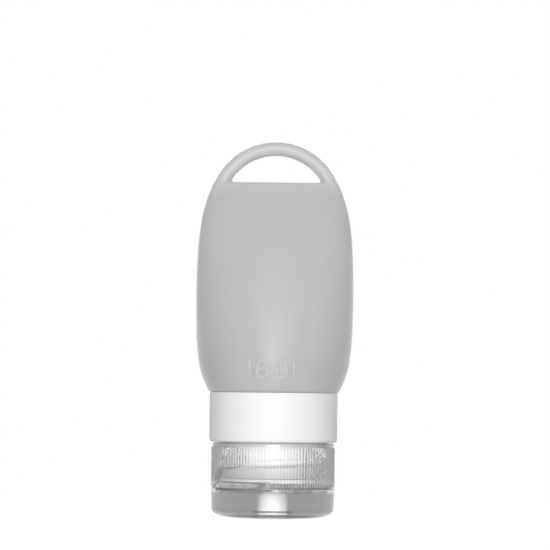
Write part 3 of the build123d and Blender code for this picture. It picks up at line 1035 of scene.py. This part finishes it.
@dataclass
class Neck:
    """Stiff insert with the screw neck and the barbed sleeve, its washer, and the white collar."""

    bore: float = 13.8 * MM
    bottom: float = 11.95 * MM
    flange_bottom: float = 24.15 * MM
    flange_top: float = 25.5 * MM
    flange_radius: float = 17.75 * MM
    sleeve_radius: float = 15.2 * MM
    sleeve_top: float = 36.5 * MM
    barb_first: float = 2.4 * MM
    barb_pitch: float = 4.0 * MM
    barb_reach: float = 0.6 * MM
    barb_height: float = 1.6 * MM
    thread_start: float = 13.55 * MM
    thread_turns: float = 1.5
    edge: float = 0.15 * MM
    washer_radii: tuple[float, float] = (13.5 * MM, 16.8 * MM)
    washer_levels: tuple[float, float] = (10.7 * MM, 11.9 * MM)
    collar_outer: float = 19.45 * MM
    collar_inner: float = 17.85 * MM
    collar_lip: float = 16.85 * MM
    collar_bottom: float = 22.9 * MM
    collar_top: float = 37.9 * MM
    collar_lip_top: float = 24.1 * MM
    collar_bottom_edge: float = 0.9 * MM
    collar_top_edge: float = 0.3 * MM
    insert_columns: int = 420
    washer_columns: int = 192
    collar_columns: int = 360

    def threaded(self, radius: Array, height: Array, angle: Array) -> Grids:
        """New radii and heights: the thread's ridge on the neck."""
        spots = (radius, height, angle)
        return THREAD.ridge(
            spots, THREAD.neck_radius, self.thread_start, self.thread_turns, THREAD.depth
        ), height

    def insert_mesh(self) -> Piece:
        """Builds the insert: its line carried round, with the thread's ridge on the neck."""
        outside, sleeve, neck_end = THREAD.neck_radius, self.sleeve_radius, self.flange_bottom - 0.1 * MM
        neck = rounded_line(
            [(self.bore, self.bottom), (outside, self.bottom), (outside, neck_end)], 0.3 * MM, self.edge
        )
        barbs: list[Corner] = []
        for number in range(2):
            foot = self.flange_top + self.barb_first + number * self.barb_pitch
            barbs += [
                (sleeve, foot, 0), (sleeve + self.barb_reach, foot), (sleeve, foot + self.barb_height, 0),
            ]
        rest = rounded_line([
            (outside, neck_end), (outside, self.flange_bottom, 0), (self.flange_radius, self.flange_bottom),
            (self.flange_radius, self.flange_top), (sleeve, self.flange_top), *barbs,
            (sleeve, self.sleeve_top), (self.bore, self.sleeve_top), (self.bore, self.bottom + 1.0 * MM),
        ], 2.0 * MM, self.edge)
        line, columns = np.concatenate((neck[:-1], rest)), self.insert_columns
        insert = turned_piece("neck_insert_white", line, columns, closed=True, change=self.threaded)
        crease(insert, 35.0)
        return insert

    def collar_mesh(self) -> Piece:
        """Builds the collar: a plain ring with an inner lip at its lower end."""
        line = rounded_line([
            (self.collar_lip, self.collar_bottom),
            (self.collar_outer, self.collar_bottom, self.collar_bottom_edge),
            (self.collar_outer, self.collar_top, self.collar_top_edge), (self.collar_inner, self.collar_top),
            (self.collar_inner, self.collar_lip_top), (self.collar_lip, self.collar_lip_top),
        ], 0.8 * MM, self.edge, closed=True)
        return turned_piece("collar_white", line, self.collar_columns, closed=True)

    def dress(self) -> None:
        """Builds the three pieces and puts them on the bottle and, the washer, on the seal's body."""
        place(self.insert_mesh(), Node.NECK_INSERT, Body.BOTTLE, NATURAL_WHITE)
        radii, levels, columns = self.washer_radii, self.washer_levels, self.washer_columns
        washer = flat_ring("washer_ring", radii, levels, self.edge, columns)
        place(washer, Node.NECK_GASKET, Body.SEAL, GREY_RUBBER)
        place(self.collar_mesh(), Node.COLLAR_RING, Body.BOTTLE, WHITE_SATIN)


# Silicone body


@dataclass
class RaisedFigures:
    """The size in plain figures between two short bars, raised low on the body's front."""

    middle_level: float = 44.8 * MM
    height: float = 5.2 * MM
    width: float = 3.0 * MM
    gap: float = 1.4 * MM
    bar_out: float = 6.6 * MM
    shift: float = -0.7 * MM
    bead_radius: float = 0.45 * MM
    proud: float = 0.4 * MM

    def arc(
        self, middle: float, level: float, rise: float, sweep: Array, power: float = 1.0
    ) -> Array:
        """Part of an oval as wide as a figure, squarer than an ellipse for a power below 1."""
        across, up = (np.sign(f(sweep)) * np.abs(f(sweep)) ** power for f in (np.cos, np.sin))
        return np.column_stack((middle + across * self.width / 2, level + up * rise))

    def strokes(self) -> list[tuple[Array, bool]]:
        """Paths of the beads, each with whether it is a ring: stem and bowl of the six, zero and two bars."""
        half, side = self.width / 2, self.gap + self.width / 2
        six, zero, bowl = self.shift - side, self.shift + side, self.middle_level - self.height / 2 + half
        stem = np.linspace(math.radians(60.0), math.pi, 30)
        up = np.linspace(-0.5, 0.5, 16) * self.height
        spots = (self.shift - self.bar_out, self.shift + self.bar_out)
        return [
            (self.arc(six, bowl, self.height - half, stem), False),
            (self.arc(six, bowl, half, around(56)), True),
            (self.arc(zero, self.middle_level, self.height / 2, around(72), 0.8), True),
            *((np.column_stack((np.full_like(up, spot), self.middle_level + up)), False) for spot in spots),
        ]

    def bead(self, path: Array, closed: bool, body: "SiliconeBody") -> Shell:
        """A round bead along a path on the body's front, sunk in it all but its proud part.

        The front stands at the half depth times the root of one less the square of the side distance
        over the half width.

        Args:
            path: Side distance and level of the bead's points.
            closed: True for a ring.
            body: The body that the bead stands on.

        Returns:
            The bead's surface.
        """
        half = body.half_sizes(path[:, 1])
        share = path[:, 0] / half[:, 0]
        spots = np.column_stack((path[:, 0], -half[:, 1] * np.sqrt(1 - share**2), path[:, 1]))
        out = unit(np.column_stack((share / half[:, 0], spots[:, 1] / half[:, 1] ** 2, np.zeros(len(path)))))
        ring = np.roll(spots, -1, axis=0) - np.roll(spots, 1, axis=0)
        across = unit(np.cross(ring if closed else np.gradient(spots, axis=0), out))
        section = np.repeat((self.bead_radius * circle(16))[None], len(path), axis=0)
        rings = carried(spots - out * (self.bead_radius - self.proud), across, out, section)
        return grid_shell(rings, closed_rows=True) if closed else capped(rings)

    def shells(self, body: "SiliconeBody") -> list[Shell]:
        """The figures' beads on a body's front."""
        return [self.bead(path, closed, body) for path, closed in self.strokes()]


@dataclass
class SiliconeBody:
    """Squeezable body: an oval skin that flattens upwards, its chamber, its neck and the hanging loop."""

    base_level: float = 37.95 * MM
    rise: float = 64.0 * MM
    half_width: float = 24.0 * MM
    half_depth: float = 20.3 * MM
    wall: float = 2.0 * MM
    shoulder_radius: float = 19.75 * MM
    neck_outer: float = 17.8 * MM
    neck_inner: float = 15.25 * MM
    neck_bottom: float = 25.55 * MM
    ledge_round: float = 1.37 * MM
    chamber_top: float = 98.95 * MM
    chamber_half_width: float = 18.35 * MM
    chamber_half_depth: float = 3.5 * MM
    top_half_width: float = 19.1 * MM
    top_half_depth: float = 4.41 * MM
    crown_level: float = 114.45 * MM
    crown_radius: float = 20.35 * MM
    crown_half_angle: float = math.radians(60.0)
    side_radius: float = 35.0 * MM
    side_angle: float = math.radians(10.0)
    window_radius: float = 16.11 * MM
    loop_depth: float = 5.2 * MM
    loop_round: float = 2.0 * MM
    voxel: float = 0.54 * MM
    columns: int = 200

    # Height above the collar as a share of the rise, and half width and depth as shares of the body's own
    SHARES = (
        (0.100, 0.932, 0.995), (0.224, 0.983, 0.961), (0.396, 1.000, 0.852), (0.584, 0.996, 0.690),
        (0.755, 0.969, 0.507), (0.880, 0.911, 0.360),
    )

    @property
    def top(self) -> float:
        """Level of the flat top under the loop."""
        return self.base_level + self.rise

    def stations(self, inset: float, start_radius: float, top: tuple[float, float, float]) -> Array:
        """Height, half width and half depth where the skin's or the chamber's ovals are known."""
        rows = [(self.base_level, start_radius, start_radius)]
        rows += [
            (self.base_level + up * self.rise, w * self.half_width - inset, d * self.half_depth - inset)
            for up, w, d in self.SHARES
        ]
        return np.array([*rows, top])

    def half_sizes(self, heights: Array) -> Array:
        """Half width and half depth of the skin at some heights."""
        top = (self.top, self.top_half_width, self.top_half_depth)
        return smooth_through(self.stations(0.0, self.shoulder_radius, top), heights)

    def skin(self) -> Shell:
        """The body's whole surface as a stack of ovals, from the top's middle down, in, and up the chamber.

        A point of an oval stands at its half width times the cosine and its half depth times the sine.
        """
        ledge_level = self.top - self.ledge_round
        bend = np.linspace(0.0, math.pi / 2, 9)
        shoulder = self.half_sizes(np.array([ledge_level]))[0]
        ledge = np.column_stack((
            self.top - self.ledge_round * (1 - np.cos(bend)),
            *(half - self.ledge_round * (1 - np.sin(bend)) for half in shoulder),
        ))
        lid = np.column_stack((np.full(7, self.top), *(np.linspace(0, half, 7) for half in ledge[0, 1:])))
        down = np.linspace(ledge_level, self.base_level, 130)[1:]
        outside = np.column_stack((down, self.half_sizes(down)))
        up = np.linspace(self.base_level, self.chamber_top, 120)
        chamber_end = (self.chamber_top, self.chamber_half_width, self.chamber_half_depth)
        inside = np.column_stack((
            up, smooth_through(self.stations(self.wall, self.neck_inner, chamber_end), up)
        ))
        ceiling = np.column_stack((
            np.full(6, self.chamber_top), *(np.linspace(half, 0, 6) for half in inside[-1, 1:])
        ))
        neck = [
            (self.base_level, self.neck_outer, self.neck_outer),
            (self.neck_bottom, self.neck_outer, self.neck_outer),
            (self.neck_bottom, self.neck_inner, self.neck_inner),
        ]
        rows = np.concatenate((lid[:-1], ledge, outside, neck, inside, ceiling[1:]))
        angles = around(self.columns)
        points = np.stack((
            rows[:, 1:2] * np.cos(angles), rows[:, 2:3] * np.sin(angles),
            np.repeat(rows[:, :1], len(angles), axis=1),
        ), axis=-1)
        return grid_shell(points, closed_rows=False)

    def bow(self) -> Shell:
        """The hanging loop: a rounded section carried from root to root.

        At each angle round the crown's centre the section reaches from the window's circle to the outer
        line, which is the crown's circle and, below it, a wider circle that meets it smoothly.
        """
        centre = np.array((0.0, self.crown_level - self.crown_radius))
        crown = np.linspace(math.pi / 2 - self.crown_half_angle, math.pi / 2, 60)
        side = np.linspace(crown[0] - self.side_angle, crown[0], 14)[:-1]
        meeting = np.array((math.cos(crown[0]), math.sin(crown[0])))
        side_centre = centre + (self.crown_radius - self.side_radius) * meeting
        outer = np.concatenate([
            middle + radius * np.column_stack((np.cos(turn), np.sin(turn)))
            for middle, radius, turn in (
                (side_centre, self.side_radius, side), (centre, self.crown_radius, crown),
            )
        ])
        inner = centre + self.window_radius * unit(outer - centre)
        outer, inner = (np.concatenate((line, (line * (-1, 1))[-2::-1])) for line in (outer, inner))
        middle, step = (outer + inner) / 2, outer - inner
        half = np.linalg.norm(step, axis=1) / 2
        # Both lie in the loop's own upright plane, so that a 0 comes between their two coordinates
        path, across = (np.insert(line, 1, 0.0, axis=1) for line in (middle, step / (2 * half[:, None])))
        lean = circle(48)
        flat = np.column_stack((half, np.full_like(half, self.loop_depth / 2))) - self.loop_round
        section = np.sign(np.round(lean, 6)) * flat[:, None] + self.loop_round * lean
        return capped(carried(path, across, np.tile((0.0, 1.0, 0.0), (len(path), 1)), section))

    def mark_raised_highlight(self, body: Piece, figures: RaisedFigures) -> None:
        """Marks how far each point of the figures stands out of the front's oval, for the painted highlight
        that the material puts on them.
        """
        points = read(body.data.vertices, "co")
        low, high = (figures.middle_level + side * figures.height for side in (-1, 1))
        near = (points[:, 2] > low) & (points[:, 2] < high) & (points[:, 1] < 0)
        half = self.half_sizes(np.clip(points[:, 2], low, high))
        front = half[:, 1] * np.sqrt(np.clip(1 - (points[:, 0] / half[:, 0]) ** 2, 0, 1))
        # From 0 at a fifth of the figures' stand to 1 at seven tenths of it
        share = np.clip((-points[:, 1] - front) / figures.proud * 2 - 0.4, 0, 1)
        mark(body, "raised", "POINT", share * near)

    def mesh(self) -> Piece:
        """Builds the body: skin and bow melted into one smooth closed mesh, and the figures joined on."""
        body = make_object("silicone_body_soft", [self.skin(), self.bow()])
        with_modifier(body, "REMESH", mode="VOXEL", voxel_size=self.voxel, adaptivity=0.0)
        with_modifier(body, "SMOOTH", factor=0.5, iterations=10)
        figures = RaisedFigures()
        combined(body, figures.shells(self), "UNION")
        crease(body, 35.0)
        self.mark_raised_highlight(body, figures)
        return body

    def dress(self) -> None:
        """Builds the body and puts it on the bottle."""
        place(self.mesh(), Node.SILICONE_BODY, Body.BOTTLE, SILICONE)


# Stage


@dataclass(frozen=True)
class PhotoView:
    """The camera of the photograph: far off, a little below the bottle's middle and tilted up to it."""

    distance: float = 830.0 * MM
    level: float = 37.9 * MM
    sideways: float = -0.03 * MM
    aim_level: float = 73.8 * MM
    roll: float = math.radians(0.66)
    lens: float = 178.1
    sensor: float = 36.0
    clip: tuple[float, float] = (0.01, 20.0)

    def build(self) -> None:
        """Adds the camera and makes it the scene's own."""
        data = bpy.data.cameras.new("photo_camera")
        data.lens, data.sensor_width = self.lens, self.sensor
        data.clip_start, data.clip_end = self.clip
        camera = bpy.data.objects.new("photo_camera", data)
        tilt = math.atan2(self.aim_level - self.level, self.distance)
        spot = Matrix.Translation((self.sideways, -self.distance, self.level))
        lifted = Matrix.Rotation(math.pi / 2 + tilt, 4, "X")
        camera.matrix_world = spot @ lifted @ Matrix.Rotation(self.roll, 4, "Z")
        bpy.context.scene.collection.objects.link(camera)
        bpy.context.scene.camera = camera


@dataclass(frozen=True)
class Studio:
    """White table and backdrop, dim light all round, brighter from behind, and a tall soft lamp in front."""

    light_front: float = 0.215
    light_behind: float = 2.3
    light_turn: tuple[float, float] = (0.5, 1.0)
    lamp_power: float = 7.0
    lamp_size: tuple[float, float] = (0.4, 0.5)
    lamp_distance: float = 0.95
    lamp_level: float = 0.25
    lamp_aim: float = 60.0 * MM
    table_size: float = 3.0
    table_level: float = -50.0 * MM
    table_colour: str = "#D8D8D8"
    table_shadow: float = 0.3
    table_white: float = 1.35

    WHITE = (1.0, 1.0, 1.0, 1.0)

    def seen_ray(self, tree: Tree) -> Socket:
        """1 for rays of the camera, of mirrored views and of views through clear plastic."""
        rays = add_node(tree, "LightPath").outputs
        seen = maths(tree, "MAXIMUM", rays["Is Camera Ray"], rays["Is Glossy Ray"])
        return maths(tree, "MAXIMUM", seen, rays["Is Transmission Ray"])

    def glow(self, tree: Tree, kind: str, strength: Any) -> Socket:
        """Plain white light of a strength, from the world's Background or from an Emission."""
        return add_node(tree, kind, {"Color": self.WHITE, "Strength": strength}).outputs[0]

    def surroundings(self) -> None:
        """Light from all sides that grows from the front to the back, which the eye sees as plain white."""
        world = bpy.data.worlds.new("studio")
        world.use_nodes = True
        tree = world.node_tree
        tree.nodes.clear()
        back = coordinate(tree, add_node(tree, "TexCoord").outputs["Generated"], "Y")
        level = ramp(tree, back, (self.light_front, self.light_behind), self.light_turn, "SMOOTHSTEP")
        light, white = (self.glow(tree, "Background", strength) for strength in (level, 1.0))
        add_node(tree, "OutputWorld", {"Surface": blended(tree, self.seen_ray(tree), light, white)})
        bpy.context.scene.world = world

    def table(self) -> None:
        """Pale table that is seen white, so far down that the cap can turn off and the lid can swing open."""
        corners = np.array([(-1, -1), (1, -1), (1, 1), (-1, 1)]) * self.table_size / 2
        mesh = bpy.data.meshes.new("table")
        mesh.from_pydata([(x, y, self.table_level) for x, y in corners.tolist()], [], [(0, 1, 2, 3)])
        table = bpy.data.objects.new("table", mesh)
        bpy.context.scene.collection.objects.link(table)
        material, tree = new_tree("painted_white_table")
        matt = add_node(tree, "BsdfDiffuse", {"Color": linear(self.table_colour)}).outputs["BSDF"]
        faint = blended(tree, self.table_shadow, self.glow(tree, "Emission", self.table_white), matt)
        seen = blended(tree, self.seen_ray(tree), matt, faint)
        # From below the table is left out, so that the lid's face shows
        below = add_node(tree, "NewGeometry").outputs["Backfacing"]
        nothing = add_node(tree, "BsdfTransparent").outputs["BSDF"]
        add_node(tree, "OutputMaterial", {"Surface": blended(tree, below, seen, nothing)})
        mesh.materials.append(material)

    def lamp(self) -> None:
        """The wide soft lamp in front of the bottle, turned to it."""
        data = bpy.data.lights.new("front_softbox", "AREA")
        data.shape = "RECTANGLE"
        data.size, data.size_y = self.lamp_size
        data.energy = self.lamp_power
        lamp = bpy.data.objects.new("front_softbox", data)
        spot = Vector((0, -self.lamp_distance, self.lamp_level))
        lamp.location = spot
        lamp.rotation_euler = (spot - Vector((0, 0, self.lamp_aim))).to_track_quat("Z", "Y").to_euler()
        # Its light passes the clear plastic by shadow rays, and would count twice if bent rays met it too
        lamp.visible_transmission = False
        bpy.context.scene.collection.objects.link(lamp)

    def build(self) -> None:
        """Sets up the light, the table and the colours' plain view."""
        self.surroundings()
        self.table()
        self.lamp()
        bpy.context.scene.view_settings.view_transform = "Standard"


def main() -> None:
    logging.basicConfig(level=logging.INFO, format="%(relativeCreated)6d ms %(name)s: %(message)s")
    PhotoView().build()
    Studio().build()
    for part in (SiliconeBody(), Neck(), CapBase(), Spout(), FlipLid()):
        part.dress()


if __name__ == "__main__":
    main()
